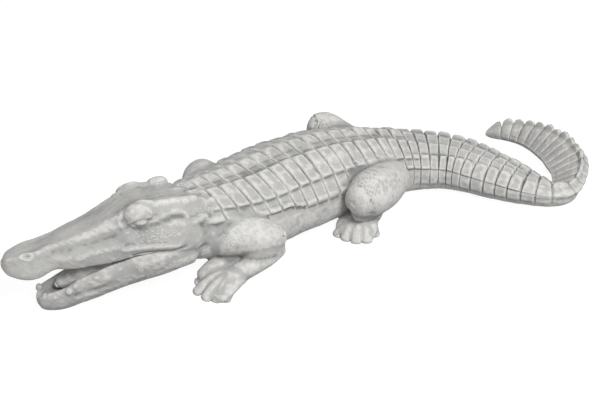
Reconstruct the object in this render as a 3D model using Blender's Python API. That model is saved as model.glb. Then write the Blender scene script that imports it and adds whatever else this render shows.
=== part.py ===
"""Cast stone garden crocodile, lying with an open mouth and a tail that hooks round beside it.

Run with: blender --background --python part.py. Units are metres, +Z is up, the head points to -X,
and the origin is the middle of the footprint, on the ground.

The whole figure is one casting. Its pose, proportions and carving are shares of LENGTH, as a figure's are.
Every form is a skin over rings of points, which stand across a line that runs from head to tail or from
body to toe. Boolean unions join the forms, and one cut makes the underside flat.
"""

import bmesh
import bpy
import numpy as np

# Driving dimensions, in metres
LENGTH = 0.90  # snout to the outside of the tail's hook
STONE_COLOUR = (0.52, 0.51, 0.48, 1.0)
STONE_ROUGHNESS = 0.85

# Carving, as shares of LENGTH
CREST_HEIGHT = 0.0072  # lips of the plates along the back
FIN_HEIGHT = 0.0115  # fins on the hook of the tail
GROOVE_DEPTH = 0.0016  # grooves between the rows of plates
BACK_PITCH = 0.0255  # from one row of plates to the next, along the back
TAIL_PITCH = 0.0195  # the same, along the tail

# Body, from inside the head to the tail's tip:
# x, y, height of the widest point, half width, rise above it, drop below it, lean of the crest
BODY = (
    (-0.245, -0.060, 0.090, 0.044, 0.046, 0.046, 0.0),
    (-0.200, -0.043, 0.083, 0.055, 0.054, 0.054, 0.0),
    (-0.155, -0.020, 0.070, 0.072, 0.058, 0.066, 0.0),
    (-0.100, 0.006, 0.061, 0.084, 0.060, 0.063, 0.0),
    (-0.030, 0.034, 0.058, 0.090, 0.063, 0.060, 0.0),
    (0.050, 0.055, 0.056, 0.089, 0.063, 0.058, 0.0),
    (0.120, 0.068, 0.051, 0.081, 0.058, 0.053, 0.0),
    (0.180, 0.074, 0.045, 0.070, 0.050, 0.047, 0.0),
    (0.240, 0.066, 0.039, 0.060, 0.042, 0.041, 0.0),
    (0.300, 0.035, 0.034, 0.053, 0.036, 0.036, 0.0),
    (0.345, -0.022, 0.029, 0.048, 0.027, 0.031, 0.0),
    (0.385, -0.072, 0.025, 0.039, 0.013, 0.027, 0.1),
    (0.418, -0.095, 0.020, 0.029, 0.011, 0.022, 0.4),
    (0.448, -0.080, 0.016, 0.023, 0.014, 0.018, 0.8),
    (0.480, -0.036, 0.014, 0.026, 0.022, 0.016, 0.9),
    (0.497, 0.016, 0.013, 0.026, 0.027, 0.015, 0.8),
    (0.501, 0.065, 0.011, 0.021, 0.027, 0.013, 0.7),
    (0.493, 0.109, 0.010, 0.015, 0.022, 0.012, 0.5),
    (0.473, 0.140, 0.009, 0.010, 0.015, 0.011, 0.3),
    (0.444, 0.158, 0.008, 0.004, 0.007, 0.009, 0.0),
)
FIRST_ROW = 0.9  # place along BODY where the rows of plates begin, and where they are at full height
FULL_ROW = 2.2
CREST_ROLL = 7.0  # degrees that the crests sit round towards the near side
MERGE_START = 8.5  # places between which the four crests of the back run together into one
MERGE_END = 12.0

# Across the body, from the middle of the back down each side to the middle of the belly:
# degrees from the top, and the height of the carving there as a share of the crest's
BACK_ANGLES = (0, 15.5, 35, 41, 63, 67, 95, 132, 180)
BACK_RELIEF = (0.1, 1.0, 0.15, 0.95, 0.5, 0, 0, 0, 0)
TAIL_ANGLES = (0, 8, 20, 38, 70, 76, 100, 135, 180)
TAIL_RELIEF = (1.0, 0.8, 0.3, 0.2, 0.25, 0, 0, 0, 0)

# Upper jaw and skull, from the snout back into the neck: x, y, half width at the lip, height of the lip,
# half width at the top edge, height of the top edge, rise of the crown over it, rise of the palate over the lip
SKULL = (
    (-0.464, -0.0380, 0.008, 0.076, 0.005, 0.085, 0.002, 0.003),
    (-0.457, -0.0390, 0.017, 0.069, 0.012, 0.092, 0.002, 0.005),
    (-0.439, -0.0405, 0.024, 0.064, 0.018, 0.097, 0.001, 0.008),
    (-0.420, -0.0425, 0.026, 0.064, 0.019, 0.100, 0.000, 0.010),
    (-0.398, -0.0445, 0.025, 0.071, 0.019, 0.104, 0.001, 0.006),
    (-0.378, -0.0465, 0.029, 0.071, 0.022, 0.110, 0.001, 0.008),
    (-0.343, -0.0505, 0.035, 0.073, 0.027, 0.122, 0.000, 0.010),
    (-0.314, -0.0540, 0.039, 0.076, 0.030, 0.136, -0.003, 0.010),
    (-0.294, -0.0565, 0.042, 0.081, 0.031, 0.149, -0.010, 0.010),
    (-0.276, -0.0580, 0.043, 0.082, 0.032, 0.159, -0.013, 0.006),
    (-0.258, -0.0590, 0.045, 0.082, 0.033, 0.154, -0.007, 0.002),
    (-0.238, -0.0585, 0.048, 0.079, 0.034, 0.153, -0.004, -0.006),
    (-0.218, -0.0555, 0.049, 0.073, 0.034, 0.150, -0.002, -0.010),
    (-0.198, -0.0490, 0.048, 0.070, 0.031, 0.139, 0.0, -0.010),
)

# Lower jaw, from its tip back into the throat: x, y, half width, height of the rim, height of its underside,
# depth of the mouth's floor below the rim
JAW = (
    (-0.423, -0.0425, 0.009, 0.021, 0.008, 0.003),
    (-0.416, -0.0435, 0.017, 0.027, 0.001, 0.012),
    (-0.398, -0.0450, 0.023, 0.033, -0.002, 0.018),
    (-0.378, -0.0470, 0.026, 0.041, 0.000, 0.022),
    (-0.348, -0.0510, 0.030, 0.055, 0.008, 0.022),
    (-0.314, -0.0550, 0.034, 0.067, 0.018, 0.020),
    (-0.280, -0.0590, 0.039, 0.078, 0.027, 0.014),
    (-0.245, -0.0600, 0.044, 0.084, 0.034, 0.006),
    (-0.210, -0.0530, 0.047, 0.086, 0.036, 0.0),
)

# Limbs and tongue, each a line of x, y, z, half width across, half height
TONGUE = (
    (-0.396, -0.0380, 0.030, 0.004, 0.003),
    (-0.390, -0.0390, 0.032, 0.010, 0.008),
    (-0.363, -0.0440, 0.041, 0.013, 0.010),
    (-0.323, -0.0520, 0.055, 0.017, 0.012),
    (-0.283, -0.0580, 0.068, 0.019, 0.012),
)
FRONT_LEG = (
    (
        (-0.175, -0.055, 0.064, 0.030, 0.030),
        (-0.132, -0.080, 0.066, 0.031, 0.031),
        (-0.100, -0.093, 0.060, 0.027, 0.028),
        (-0.080, -0.099, 0.052, 0.018, 0.020),
    ),
    (
        (-0.082, -0.099, 0.044, 0.016, 0.017),
        (-0.105, -0.105, 0.036, 0.016, 0.018),
        (-0.138, -0.108, 0.024, 0.015, 0.015),
        (-0.152, -0.105, 0.018, 0.016, 0.014),
    ),
    (
        (-0.150, -0.104, 0.014, 0.020, 0.015),
        (-0.168, -0.103, 0.012, 0.024, 0.012),
        (-0.180, -0.105, 0.008, 0.025, 0.008),
    ),
    (
        (-0.190, -0.082, 0.010, 0.014, 0.014),
        (-0.160, -0.080, 0.018, 0.022, 0.020),
        (-0.118, -0.082, 0.024, 0.024, 0.022),
    ),
)
FRONT_PALM = (-0.160, -0.104, 0.012)
FRONT_TOES = ((-0.181, -0.137), (-0.203, -0.124), (-0.208, -0.099), (-0.196, -0.076), (-0.172, -0.072))
HIND_LEG = (
    (
        (0.165, 0.005, 0.052, 0.030, 0.030),
        (0.128, -0.030, 0.062, 0.035, 0.035),
        (0.094, -0.052, 0.067, 0.035, 0.036),
        (0.070, -0.064, 0.067, 0.025, 0.027),
    ),
    (
        (0.078, -0.056, 0.050, 0.018, 0.022),
        (0.100, -0.046, 0.038, 0.019, 0.021),
        (0.106, -0.034, 0.022, 0.019, 0.019),
    ),
    (
        (0.104, -0.026, 0.018, 0.021, 0.018),
        (0.084, -0.038, 0.014, 0.027, 0.014),
        (0.074, -0.048, 0.009, 0.027, 0.009),
    ),
)
FAR_THIGH = (
    (0.165, 0.005, 0.044, 0.030, 0.028),
    (0.142, -0.028, 0.060, 0.033, 0.032),
    (0.120, -0.048, 0.083, 0.029, 0.030),
    (0.104, -0.058, 0.086, 0.020, 0.024),
)
HIND_PALM = (0.089, -0.034, 0.013)
HIND_TOES = ((0.043, -0.035), (0.054, -0.066), (0.076, -0.078), (0.098, -0.068))
TOE_RADIUS = 0.0106

# Knobs of the head on the near side: brow, eye, ear flap and nostril
HEAD_KNOBS = (
    (
        (-0.290, -0.084, 0.146, 0.008, 0.006),
        (-0.277, -0.087, 0.157, 0.011, 0.008),
        (-0.262, -0.086, 0.150, 0.008, 0.006),
    ),
    (
        (-0.287, -0.096, 0.134, 0.005, 0.005),
        (-0.279, -0.097, 0.135, 0.008, 0.007),
        (-0.271, -0.097, 0.134, 0.005, 0.005),
    ),
    (
        (-0.248, -0.097, 0.128, 0.003, 0.003),
        (-0.232, -0.099, 0.131, 0.006, 0.006),
        (-0.214, -0.095, 0.126, 0.003, 0.003),
    ),
    (
        (-0.440, -0.053, 0.094, 0.006, 0.004),
        (-0.431, -0.054, 0.096, 0.007, 0.006),
        (-0.420, -0.054, 0.096, 0.005, 0.004),
    ),
)

REAR_BUMP = (
    (-0.250, -0.031, 0.146, 0.006, 0.006),
    (-0.237, -0.030, 0.149, 0.010, 0.009),
    (-0.222, -0.029, 0.145, 0.006, 0.006),
)

# The far side is the near side mirrored, but for the thigh, whose knee is higher. A mirror is a point on its
# plane, its direction, and how far back the copy then lies along it and how much higher
HEAD_MIRROR = ((-0.278, -0.0580), (0.993, -0.120), (0.0, 0.0))
SHOULDER_MIRROR = ((-0.130, -0.008), (0.920, 0.390), (0.050, 0.018))
HIP_MIRROR = ((0.150, 0.051), (0.985, 0.170), (0.022, 0.008))


def through(rows, places):
    """Catmull-Rom curve through rows of numbers: place 0 is the first row, 1 the second, and so on."""
    rows = np.asarray(rows, float)
    last = len(rows) - 1
    places = np.clip(np.asarray(places, float), 0, last)
    left = np.minimum(places.astype(int), last - 1)
    share = (places - left)[:, None]
    before, start = rows[np.maximum(left - 1, 0)], rows[left]
    end, after = rows[left + 1], rows[np.minimum(left + 2, last)]
    return 0.5 * (
        2 * start
        + (end - before) * share
        + (2 * before - 5 * start + 4 * end - after) * share**2
        + (3 * start - before - 3 * end + after) * share**3
    )


def ramp(values, low, high):
    """0 below low, 1 above high, and a smooth step between them."""
    share = np.clip((values - low) / (high - low), 0, 1)
    return share * share * (3 - 2 * share)


def stand(line, across, height):
    """Rings that stand upright across a line on the ground: across is how far left of it, seen from the tail."""
    way = np.gradient(line, axis=0)
    way /= np.linalg.norm(way, axis=1, keepdims=True)
    left = np.stack([way[:, 1], -way[:, 0]], axis=1)
    flat = line[:, None, :] + across[:, :, None] * left[:, None, :]
    return np.concatenate([flat, height[:, :, None]], axis=2)


def both_sides(half):
    """Values round a ring from those of its left half, which runs from the top to the bottom."""
    return np.concatenate([half, half[..., -2:0:-1]], axis=-1)


def row_places():
    """Places along BODY of the rings: two plain ones in the head, then three for each row of plates."""
    fine = np.linspace(0, len(BODY) - 1, 2000)
    points = through(BODY, fine)[:, :2]
    run = np.concatenate([[0], np.cumsum(np.linalg.norm(np.diff(points, axis=0), axis=1))])
    pitch = BACK_PITCH + (TAIL_PITCH - BACK_PITCH) * ramp(fine, 5, 9)
    rows = np.concatenate([[0], np.cumsum(np.diff(run) / pitch[1:])])
    rows -= np.interp(FIRST_ROW, fine, rows)
    count = int(rows[-1])
    numbers = (np.arange(count)[:, None] + np.array([0, 0.2, 0.85])).ravel()
    numbers = np.append(numbers, [count, rows[-1] - 0.02])
    places = np.interp(numbers, rows, fine)
    return np.concatenate([[0, 0.45], places]), np.concatenate([[0, 0], numbers])


def body_rings():
    """Half ellipses above and squarer halves below, with the plates of the back raised from them.

    A plate is highest on its crest and falls away down the side. Each row of plates starts and ends in a
    groove, which notches the crests to the skin.
    """
    places, numbers = row_places()
    rows = through(BODY, places)
    line, (middle, width, rise, drop, lean) = rows[:, :2], rows[:, 2:, None].transpose(1, 0, 2)
    merged = ramp(places, MERGE_START, MERGE_END)[:, None]
    angle = np.radians(BACK_ANGLES + (np.subtract(TAIL_ANGLES, BACK_ANGLES)) * merged)
    relief = BACK_RELIEF + np.subtract(TAIL_RELIEF, BACK_RELIEF) * merged
    crest = CREST_HEIGHT + (FIN_HEIGHT - CREST_HEIGHT) * merged
    crest = crest * ramp(places, FIRST_ROW - 0.5, FULL_ROW)[:, None] * np.minimum(1, rise / 0.014)
    in_row = numbers % 1
    notch = np.where((in_row < 0.1) | (in_row > 0.95), 1.0, 0.0)[:, None]
    inside = angle < np.radians(80)
    lift = crest * relief * (1 - 0.75 * notch) - GROOVE_DEPTH * notch * inside
    lift = both_sides(lift)
    angle = np.concatenate([angle, -angle[:, -2:0:-1]], axis=1)
    angle = angle + np.radians(CREST_ROLL) * (1 + np.cos(angle)) / 2 * (1 - merged)
    sine, cosine = np.sin(angle), np.cos(angle)
    upper, side = cosine > 0, np.sign(sine)
    hollow = np.where(side < 0, 1 + 1.6 * lean, 1)
    across = np.where(upper, sine, side * np.abs(sine) ** 0.9) * width + lean * width * np.maximum(cosine, 0) ** 1.2
    height = middle + np.where(upper, rise * np.maximum(cosine, 0) ** hollow, -drop * np.abs(cosine) ** 0.75)
    return stand(line, across + lift * sine, height + lift * np.maximum(cosine, 0))


def skull_rings():
    """Six-cornered sections with a lip, a top edge and a hollow palate."""
    rows = through(SKULL, np.linspace(0, len(SKULL) - 1, 17))
    line, (width, lip, edge, top, crown, palate) = rows[:, :2], rows[:, 2:].T
    across = (0 * width, 0.5 * edge, edge, 0.6 * width + 0.4 * edge, width, 0.97 * width, 0.8 * width, 0 * width)
    height = (
        top + crown,
        top + 0.7 * crown,
        top,
        0.62 * top + 0.38 * lip,
        0.22 * top + 0.78 * lip,
        lip,
        lip + 0.2 * palate,
        lip + palate,
    )
    across, height = both_sides(np.stack(across, axis=1)), both_sides(np.stack(height, axis=1))
    across[:, 8:] *= -1
    return stand(line, across, height)


def jaw_rings():
    """A trough: a rim, sides that round under to a flat keel, and the floor of the mouth between the rims."""
    rows = through(JAW, np.arange(len(JAW)))
    line, (width, rim, under, depth) = rows[:, :2], rows[:, 2:].T
    across = (0 * width, 0.5 * width, 0.74 * width, 0.92 * width, width, 0.93 * width, 0.6 * width, 0 * width)
    height = (
        rim - depth,
        rim - 0.9 * depth,
        rim - 0.05 * depth,
        rim,
        0.75 * rim + 0.25 * under,
        0.35 * rim + 0.65 * under,
        0.05 * rim + 0.95 * under,
        under,
    )
    across, height = both_sides(np.stack(across, axis=1)), both_sides(np.stack(height, axis=1))
    across[:, 8:] *= -1
    return stand(line, across, height)


def limb_rings(rows, count, around):
    """Ellipses square to a line in space, with both ends rounded off."""
    along = 0.5 - 0.5 * np.cos(np.linspace(0, np.pi, count))
    rows = through(rows, along * (len(rows) - 1))
    line, width, height = rows[:, :3], rows[:, 3], rows[:, 4]
    way = np.gradient(line, axis=0)
    way /= np.linalg.norm(way, axis=1, keepdims=True)
    side = np.cross(way, (0, 0, 1))
    side /= np.linalg.norm(side, axis=1, keepdims=True)
    up = np.cross(side, way)
    turn = np.linspace(0, 2 * np.pi, around, endpoint=False)[None, :, None]
    ring = side[:, None] * np.cos(turn) * width[:, None, None] + up[:, None] * np.sin(turn) * height[:, None, None]
    rings = line[:, None, :] + ring
    ends = [rings[0] * 0.55 + 0.45 * line[0] - 0.55 * way[0] * width[0]]
    ends.append(rings[-1] * 0.55 + 0.45 * line[-1] + 0.55 * way[-1] * width[-1])
    return np.concatenate([ends[:1], rings, ends[1:]])


def toe(palm, tip):
    """A line that arches from the palm over a knuckle to a tip on the ground."""
    start, end = np.array(palm), np.array((*tip, 0.002))
    knuckle = start * 0.45 + end * 0.55 + (0, 0, 0.007)
    widths = ((1.1, 1.0), (1.0, 1.0), (0.5, 0.5))
    return [(*point, TOE_RADIUS * a, TOE_RADIUS * b) for point, (a, b) in zip((start, knuckle, end), widths)]


def mirrored(rings, mirror):
    """The same rings on the other side of an upright plane, moved back along it and raised where above ground."""
    point, way = np.array(mirror[0]), np.array(mirror[1]) / np.linalg.norm(mirror[1])
    back, higher = mirror[2]
    away = rings[..., :2] - point
    along = (away @ way)[..., None] * way
    flat = point + 2 * along - away + back * way
    height = rings[..., 2:] + higher * ramp(rings[..., 2:], 0.010, 0.050)
    return np.concatenate([flat, height], axis=-1)


def pair(forms, mirror):
    """Forms of the near side with their copies on the far side."""
    return forms | {f"far {name}": mirrored(rings, mirror) for name, rings in forms.items()}


def leg(name, parts, palm, tips):
    """Thigh or upper arm, shank or forearm, and toes."""
    forms = {f"{name} part {number}": limb_rings(rows, 5, 8) for number, rows in enumerate(parts)}
    return forms | {f"{name} toe {number}": limb_rings(toe(palm, tip), 3, 6) for number, tip in enumerate(tips)}


def skin(name, rings, offset):
    """A closed mesh over the rings, each end closed to its middle."""
    count, around = rings.shape[:2]
    middles = [rings[0].mean(axis=0), rings[-1].mean(axis=0)]
    points = (np.concatenate([rings.reshape(-1, 3), middles]) - offset) * LENGTH
    index = np.arange(count * around).reshape(count, around)
    ahead = np.roll(index, -1, axis=1)
    walls = np.stack([index[:-1], ahead[:-1], ahead[1:], index[1:]], axis=-1).reshape(-1, 4).tolist()
    first = [(count * around, b, a) for a, b in zip(index[0].tolist(), ahead[0].tolist())]
    last = [(count * around + 1, a, b) for a, b in zip(index[-1].tolist(), ahead[-1].tolist())]
    mesh = bpy.data.meshes.new(name)
    mesh.from_pydata(points.tolist(), [], walls + first + last)
    work = bmesh.new()
    work.from_mesh(mesh)
    bmesh.ops.recalc_face_normals(work, faces=work.faces)
    work.to_mesh(mesh)
    work.free()
    return bpy.data.objects.new(name, mesh)


def helper(piece, collection):
    """Files a form that only serves a Boolean."""
    collection.objects.link(piece)
    piece.hide_render = True
    piece.display_type = "WIRE"


def stone():
    material = bpy.data.materials.new("cast stone")
    material.use_nodes = True
    shader = material.node_tree.nodes["Principled BSDF"]
    shader.inputs["Base Color"].default_value = STONE_COLOUR
    shader.inputs["Roughness"].default_value = STONE_ROUGHNESS
    shader.inputs["Metallic"].default_value = 0.0
    return material


def ground_slab():
    """A block whose top is the ground."""
    mesh = bpy.data.meshes.new("ground")
    work = bmesh.new()
    bmesh.ops.create_cube(work, size=2 * LENGTH)
    bmesh.ops.translate(work, verts=work.verts, vec=(0, 0, -LENGTH))
    work.to_mesh(mesh)
    work.free()
    return bpy.data.objects.new("ground", mesh)


def largest_body(mesh):
    """Leaves the mesh with its largest connected body: a union of grazing skins also leaves slivers."""
    work = bmesh.new()
    work.from_mesh(mesh)
    waiting = set(work.verts)
    bodies = []
    while waiting:
        edge = [waiting.pop()]
        body = set(edge)
        while edge:
            near = {link.other_vert(vert) for vert in edge for link in vert.link_edges} - body
            body |= near
            edge = list(near)
        waiting -= body
        bodies.append(body)
    bodies.sort(key=len)
    for body in bodies[:-1]:
        bmesh.ops.delete(work, geom=list(body), context="VERTS")
    work.to_mesh(mesh)
    work.free()


def main():
    for old in list(bpy.data.objects):
        bpy.data.objects.remove(old)
    near_hind_leg = leg("hind leg", HIND_LEG, HIND_PALM, HIND_TOES)
    far_hind_leg = leg("far hind leg", (FAR_THIGH, *HIND_LEG[1:]), HIND_PALM, HIND_TOES)
    forms = {
        "skull": skull_rings(),
        "lower jaw": jaw_rings(),
        "tongue": limb_rings(TONGUE, 6, 8),
        "bump behind the far eye": limb_rings(REAR_BUMP, 4, 6),
        **pair({f"knob {number}": limb_rings(rows, 4, 6) for number, rows in enumerate(HEAD_KNOBS)}, HEAD_MIRROR),
        **pair(leg("front leg", FRONT_LEG, FRONT_PALM, FRONT_TOES), SHOULDER_MIRROR),
        **near_hind_leg,
        **{name: mirrored(rings, HIP_MIRROR) for name, rings in far_hind_leg.items()},
    }
    body = body_rings()
    everything = np.concatenate([rings.reshape(-1, 3) for rings in (body, *forms.values())])
    offset = (everything.min(axis=0) + everything.max(axis=0)) / 2
    offset[2] = 0
    torso = skin("torso", body, offset)
    helper(torso, bpy.context.scene.collection)
    joined = bpy.data.collections.new("joined forms")
    bpy.context.scene.collection.children.link(joined)
    for name, rings in forms.items():
        helper(skin(name, rings, offset), joined)
    ground = ground_slab()
    helper(ground, bpy.context.scene.collection)
    union = torso.modifiers.new("join", "BOOLEAN")
    union.operation = "UNION"
    union.operand_type = "COLLECTION"
    union.collection = joined
    union.solver = "MANIFOLD"  # the exact solver drops forms of this union and stops on the cut
    cut = torso.modifiers.new("flat underside", "BOOLEAN")
    cut.operation = "DIFFERENCE"
    cut.object = ground
    cut.solver = "MANIFOLD"
    cast = bpy.data.meshes.new_from_object(torso.evaluated_get(bpy.context.evaluated_depsgraph_get()))
    largest_body(cast)
    cast.materials.append(stone())
    bpy.context.scene.collection.objects.link(bpy.data.objects.new("crocodile", cast))


main()
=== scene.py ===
"""Cast stone crocodile: its fine carving, its stone finish, and a plain studio around it.

The carving is in shares of LENGTH, in the carver's own coordinates: +X runs towards the tail, +Z up, the ground
is at 0, and the near side, which the camera sees, is towards -Y. MIDDLE is the middle of the footprint there.

The figure is one casting. Forms are skins over rings of points, a union joins them, and the joins are smoothed
as a modeller's thumb would. Lines, striae and pebbles are then raised on the skin or cut into it, and the stone's
colour reads from the shape where the edges, hollows and crevices are: the edges and raised flats paler, partly
dry brush and partly painted highlight, and painted shade in the hollows, the crevices and on the sides that face
sideways or down.
"""

import math

import bmesh
import bpy
import numpy as np
from mathutils import Matrix, Vector


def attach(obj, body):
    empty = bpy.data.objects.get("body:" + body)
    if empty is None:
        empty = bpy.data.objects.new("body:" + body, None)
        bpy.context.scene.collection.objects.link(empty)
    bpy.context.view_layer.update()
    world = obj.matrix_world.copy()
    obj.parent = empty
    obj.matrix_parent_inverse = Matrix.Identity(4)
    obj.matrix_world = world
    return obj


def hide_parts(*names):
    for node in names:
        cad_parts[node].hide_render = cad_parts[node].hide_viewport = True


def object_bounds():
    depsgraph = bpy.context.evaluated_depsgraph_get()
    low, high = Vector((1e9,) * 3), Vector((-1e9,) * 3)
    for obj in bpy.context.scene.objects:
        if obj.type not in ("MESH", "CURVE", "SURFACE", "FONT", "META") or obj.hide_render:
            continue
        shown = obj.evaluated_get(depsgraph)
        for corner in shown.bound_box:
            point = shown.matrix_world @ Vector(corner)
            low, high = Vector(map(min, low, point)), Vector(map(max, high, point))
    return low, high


LENGTH = 0.90  # snout to the outside of the tail's hook, in metres
MIDDLE = np.array((0.03272, 0.01133, 0.0))
UNDERSIDE_TOP = 0.0008  # metres above the ground that still belong to the flat underside

# Carving of the back, as shares of LENGTH
CREST_HEIGHT = 0.0086
FIN_HEIGHT = 0.0125
GROOVE_DEPTH = 0.0018
BACK_PITCH = 0.0255
TAIL_PITCH = 0.0195
CREST_ROLL = math.radians(7)  # how far the crests sit round towards the near side

# Body: x, y, height of the widest point, half width, rise above it, drop below it, lean of the crest
BODY = (
    (-0.245, -0.060, 0.090, 0.044, 0.046, 0.046, 0.0),
    (-0.200, -0.043, 0.083, 0.055, 0.054, 0.054, 0.0),
    (-0.155, -0.020, 0.070, 0.072, 0.058, 0.066, 0.0),
    (-0.100, 0.006, 0.061, 0.084, 0.060, 0.063, 0.0),
    (-0.030, 0.034, 0.058, 0.090, 0.063, 0.060, 0.0),
    (0.050, 0.055, 0.056, 0.089, 0.063, 0.058, 0.0),
    (0.120, 0.068, 0.051, 0.081, 0.058, 0.053, 0.0),
    (0.180, 0.074, 0.045, 0.070, 0.050, 0.047, 0.0),
    (0.240, 0.066, 0.039, 0.060, 0.042, 0.041, 0.0),
    (0.300, 0.035, 0.034, 0.053, 0.036, 0.036, 0.0),
    (0.345, -0.022, 0.029, 0.048, 0.027, 0.031, 0.0),
    (0.385, -0.072, 0.025, 0.039, 0.013, 0.027, 0.1),
    (0.418, -0.095, 0.020, 0.029, 0.011, 0.022, 0.4),
    (0.448, -0.080, 0.016, 0.023, 0.014, 0.018, 0.8),
    (0.480, -0.036, 0.014, 0.026, 0.022, 0.016, 0.9),
    (0.497, 0.016, 0.013, 0.026, 0.027, 0.015, 0.8),
    (0.501, 0.065, 0.011, 0.021, 0.027, 0.013, 0.7),
    (0.493, 0.109, 0.010, 0.015, 0.022, 0.012, 0.5),
    (0.473, 0.140, 0.009, 0.010, 0.015, 0.011, 0.3),
    (0.444, 0.158, 0.008, 0.004, 0.007, 0.009, 0.0),
)
# Places along BODY, where 0 is its first line: the first row of plates and the first at its full height, how far
# before them the plates start to rise, and where the two crests start to close up and have become one row of fins
FIRST_ROW = 0.9
FULL_ROW = 2.2
RISE_BEFORE = 0.4
MERGE_START = 8.0
MERGE_END = 12.0
# Degrees from the top of lines along the back, and of the same lines where the crests have become one
BACK_ANGLES = (0, 15.5, 35, 41, 63, 67, 95, 132, 180)
TAIL_ANGLES = (0, 5, 10, 16, 62, 69, 100, 135, 180)

# Height of the carving round the body, as a share of the crest's: degrees from the top, then the height on the
# back, on the tail and on its hook. Down from a crest a plate falls away to its own lower lip, and under that lip
# the next plate starts.
RELIEF = (
    (0.0, 0.30, 0.34, 1.00),
    (9.0, 0.32, 0.44, 0.96),
    (12.0, 0.98, 0.66, 0.90),
    (14.5, 1.04, 0.66, 0.85),
    (16.5, 0.92, 0.56, 0.76),
    (20.0, 0.82, 0.52, 0.66),
    (34.0, 0.66, 0.34, 0.34),
    (36.5, 0.64, 0.34, 0.30),
    (38.5, 0.66, 0.96, 0.28),
    (41.0, 0.71, 1.12, 0.26),
    (43.0, 0.79, 1.04, 0.26),
    (45.5, 0.81, 0.94, 0.25),
    (47.5, 0.20, 0.84, 0.25),
    (50.0, 0.24, 0.80, 0.25),
    (57.0, 0.34, 0.70, 0.24),
    (60.0, 0.56, 0.68, 0.24),
    (64.5, 0.60, 0.66, 0.22),
    (66.5, 0.02, 0.26, 0.16),
    (70.0, 0.00, 0.28, 0.12),
    (95.0, 0.00, 0.24, 0.03),
    (102.0, 0.00, 0.02, 0.00),
    (180.0, 0.00, 0.00, 0.00),
)
# Degrees from the top of the lines of points down one side, closest where the crests stand
ROUND_STEPS = np.array(
    (0, 3, 6, 8.5, 10.5, 12, 13.5, 15, 17, 20, 23.5, 27, 30.5, 34, 36.5, 39, 40.5, 42, 44, 45.5, 46.8, 48.5,
     51, 54, 57, 59.5, 61, 63, 64.7, 66, 67.5, 70, 73, 77, 81, 85, 89, 93, 97, 101, 106, 114, 124, 136, 150,
     165, 180)
)
# Where the rings stand within a row of plates, closest at its grooves
ROW_STEPS = np.array((0, 0.045, 0.09, 0.15, 0.23, 0.36, 0.5, 0.64, 0.77, 0.85, 0.91, 0.955))

# Skull: x, y, half width at the lip, height of the lip, half width at the top edge, height of the top edge,
# rise of the crown over it, rise of the palate over the lip
SKULL = (
    (-0.464, -0.0380, 0.008, 0.076, 0.005, 0.085, 0.002, 0.003),
    (-0.457, -0.0390, 0.017, 0.069, 0.012, 0.092, 0.002, 0.005),
    (-0.439, -0.0405, 0.024, 0.064, 0.018, 0.097, 0.001, 0.008),
    (-0.420, -0.0425, 0.026, 0.064, 0.019, 0.100, 0.000, 0.010),
    (-0.398, -0.0445, 0.025, 0.071, 0.019, 0.104, 0.003, 0.006),
    (-0.378, -0.0465, 0.029, 0.071, 0.022, 0.110, 0.005, 0.008),
    (-0.343, -0.0505, 0.035, 0.073, 0.027, 0.122, 0.005, 0.010),
    (-0.314, -0.0540, 0.039, 0.076, 0.030, 0.136, 0.003, 0.010),
    (-0.294, -0.0565, 0.042, 0.081, 0.031, 0.149, -0.002, 0.010),
    (-0.276, -0.0580, 0.043, 0.082, 0.032, 0.158, -0.005, 0.006),
    (-0.258, -0.0590, 0.045, 0.082, 0.033, 0.154, -0.002, 0.002),
    (-0.238, -0.0585, 0.048, 0.079, 0.034, 0.152, 0.000, -0.006),
    (-0.218, -0.0555, 0.049, 0.073, 0.033, 0.147, 0.001, -0.010),
    (-0.198, -0.0490, 0.048, 0.070, 0.030, 0.136, 0.001, -0.010),
    (-0.186, -0.0430, 0.046, 0.070, 0.026, 0.128, 0.0, -0.010),
)

# Lower jaw: x, y, half width, height of the rim, height of its underside, depth of the mouth's floor
JAW = (
    (-0.423, -0.0425, 0.009, 0.021, 0.008, 0.003),
    (-0.416, -0.0435, 0.017, 0.027, 0.001, 0.009),
    (-0.398, -0.0450, 0.023, 0.033, -0.002, 0.014),
    (-0.378, -0.0470, 0.026, 0.041, 0.000, 0.019),
    (-0.348, -0.0510, 0.030, 0.055, 0.008, 0.022),
    (-0.314, -0.0550, 0.034, 0.067, 0.018, 0.020),
    (-0.280, -0.0590, 0.039, 0.078, 0.027, 0.014),
    (-0.245, -0.0600, 0.044, 0.084, 0.034, 0.006),
    (-0.210, -0.0530, 0.047, 0.086, 0.036, 0.0),
)

# Tubes, each a line of x, y, z, half width across, half height
TONGUE = (
    (-0.393, -0.0400, 0.030, 0.006, 0.005),
    (-0.386, -0.0410, 0.033, 0.011, 0.009),
    (-0.363, -0.0450, 0.041, 0.013, 0.011),
    (-0.323, -0.0520, 0.055, 0.017, 0.012),
    (-0.283, -0.0580, 0.068, 0.019, 0.012),
)
# Legs of the near side, each tube a limb or a part of the foot
FRONT_LEG = (
    (
        (-0.175, -0.055, 0.064, 0.030, 0.030),
        (-0.132, -0.080, 0.066, 0.031, 0.031),
        (-0.100, -0.093, 0.060, 0.027, 0.028),
        (-0.080, -0.099, 0.052, 0.018, 0.020),
    ),
    (
        (-0.082, -0.099, 0.044, 0.016, 0.017),
        (-0.105, -0.105, 0.036, 0.016, 0.018),
        (-0.138, -0.108, 0.024, 0.015, 0.015),
        (-0.152, -0.105, 0.018, 0.016, 0.014),
    ),
    (
        (-0.148, -0.106, 0.017, 0.018, 0.016),
        (-0.172, -0.118, 0.013, 0.022, 0.0125),
        (-0.188, -0.127, 0.006, 0.020, 0.008),
    ),
    (
        (-0.150, -0.100, 0.012, 0.020, 0.013),
        (-0.172, -0.101, 0.009, 0.026, 0.010),
        (-0.187, -0.103, 0.005, 0.022, 0.006),
    ),
    (
        (-0.190, -0.082, 0.010, 0.014, 0.014),
        (-0.160, -0.080, 0.018, 0.022, 0.020),
        (-0.118, -0.082, 0.024, 0.024, 0.022),
    ),
)
FRONT_PALM = (-0.142, -0.105, 0.021)
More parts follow.
